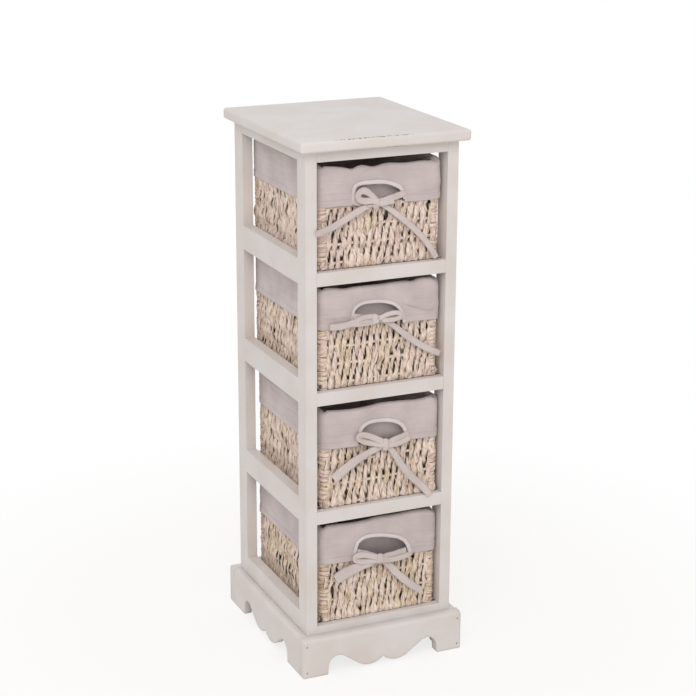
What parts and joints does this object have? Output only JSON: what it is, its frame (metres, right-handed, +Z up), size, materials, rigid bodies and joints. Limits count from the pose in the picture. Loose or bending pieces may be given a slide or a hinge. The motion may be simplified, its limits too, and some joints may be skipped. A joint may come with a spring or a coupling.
{
  "type": "basket shelf",
  "caption": "Free-standing narrow shelf tower in white painted wood, with a scalloped plinth and woven baskets with tied cloth liners that slide out of its bays.",
  "frame": {"origin": "on the floor at the middle of the footprint", "axes": "+Z up, the front with the basket openings faces -Y, +X to the viewer's right"},
  "size_m": [0.292, 0.342, 0.9],
  "materials": {
    "painted_wood": "white paint, semi-matt, lightly worn",
    "painted_panel": "thin board, white paint",
    "dowel_beech": "plain turned",
    "nail_steel": "dull wire nail",
    "woven_leaf": "twisted dry leaf strands, woven over rods",
    "liner_cotton": "plain-weave cotton, slightly creased",
    "tie_tape": "folded cotton tape"
  },
  "bodies": {
    "shelf": {"back_head_rail": "painted_wood", "back_left_post": "painted_wood", "back_plinth": "painted_wood", "back_rail_bottom": "painted_wood", "back_rail_lower": "painted_wood", "back_rail_top": "painted_wood", "back_rail_upper": "painted_wood", "back_right_post": "painted_wood", "dowels": "dowel_beech", "front_head_rail": "painted_wood", "front_left_post": "painted_wood", "front_plinth": "painted_wood", "front_rail_bottom": "painted_wood", "front_rail_lower": "painted_wood", "front_rail_top": "painted_wood", "front_rail_upper": "painted_wood", "front_right_post": "painted_wood", "left_head_rail": "painted_wood", "left_plinth": "painted_wood", "left_rail_bottom": "painted_wood", "left_rail_lower": "painted_wood", "left_rail_top": "painted_wood", "left_rail_upper": "painted_wood", "plinth_nails": "nail_steel", "right_head_rail": "painted_wood", "right_plinth": "painted_wood", "right_rail_bottom": "painted_wood", "right_rail_lower": "painted_wood", "right_rail_top": "painted_wood", "right_rail_upper": "painted_wood", "shelf_panel_bottom": "painted_panel", "shelf_panel_lower": "painted_panel", "shelf_panel_top": "painted_panel", "shelf_panel_upper": "painted_panel", "top_board": "painted_wood"},
    "basket_bottom": {"basket_bottom_binding": "tie_tape", "basket_bottom_knot": "tie_tape", "basket_bottom_liner": "liner_cotton", "basket_bottom_tie_left": "tie_tape", "basket_bottom_tie_right": "tie_tape", "basket_bottom_weave": "woven_leaf"},
    "basket_lower": {"basket_lower_binding": "tie_tape", "basket_lower_knot": "tie_tape", "basket_lower_liner": "liner_cotton", "basket_lower_tie_left": "tie_tape", "basket_lower_tie_right": "tie_tape", "basket_lower_weave": "woven_leaf"},
    "basket_upper": {"basket_upper_binding": "tie_tape", "basket_upper_knot": "tie_tape", "basket_upper_liner": "liner_cotton", "basket_upper_tie_left": "tie_tape", "basket_upper_tie_right": "tie_tape", "basket_upper_weave": "woven_leaf"},
    "basket_top": {"basket_top_binding": "tie_tape", "basket_top_knot": "tie_tape", "basket_top_liner": "liner_cotton", "basket_top_tie_left": "tie_tape", "basket_top_tie_right": "tie_tape", "basket_top_weave": "woven_leaf"}
  },
  "joints": [
    {"name": "basket_bottom_slide", "type": "slide", "parent": "shelf", "child": "basket_bottom", "axis": [0, -1, 0], "range_m": [0, 0.25]},
    {"name": "basket_lower_slide", "type": "slide", "parent": "shelf", "child": "basket_lower", "axis": [0, -1, 0], "range_m": [0, 0.25]},
    {"name": "basket_upper_slide", "type": "slide", "parent": "shelf", "child": "basket_upper", "axis": [0, -1, 0], "range_m": [0, 0.25]},
    {"name": "basket_top_slide", "type": "slide", "parent": "shelf", "child": "basket_top", "axis": [0, -1, 0], "range_m": [0, 0.25]}
  ]
}
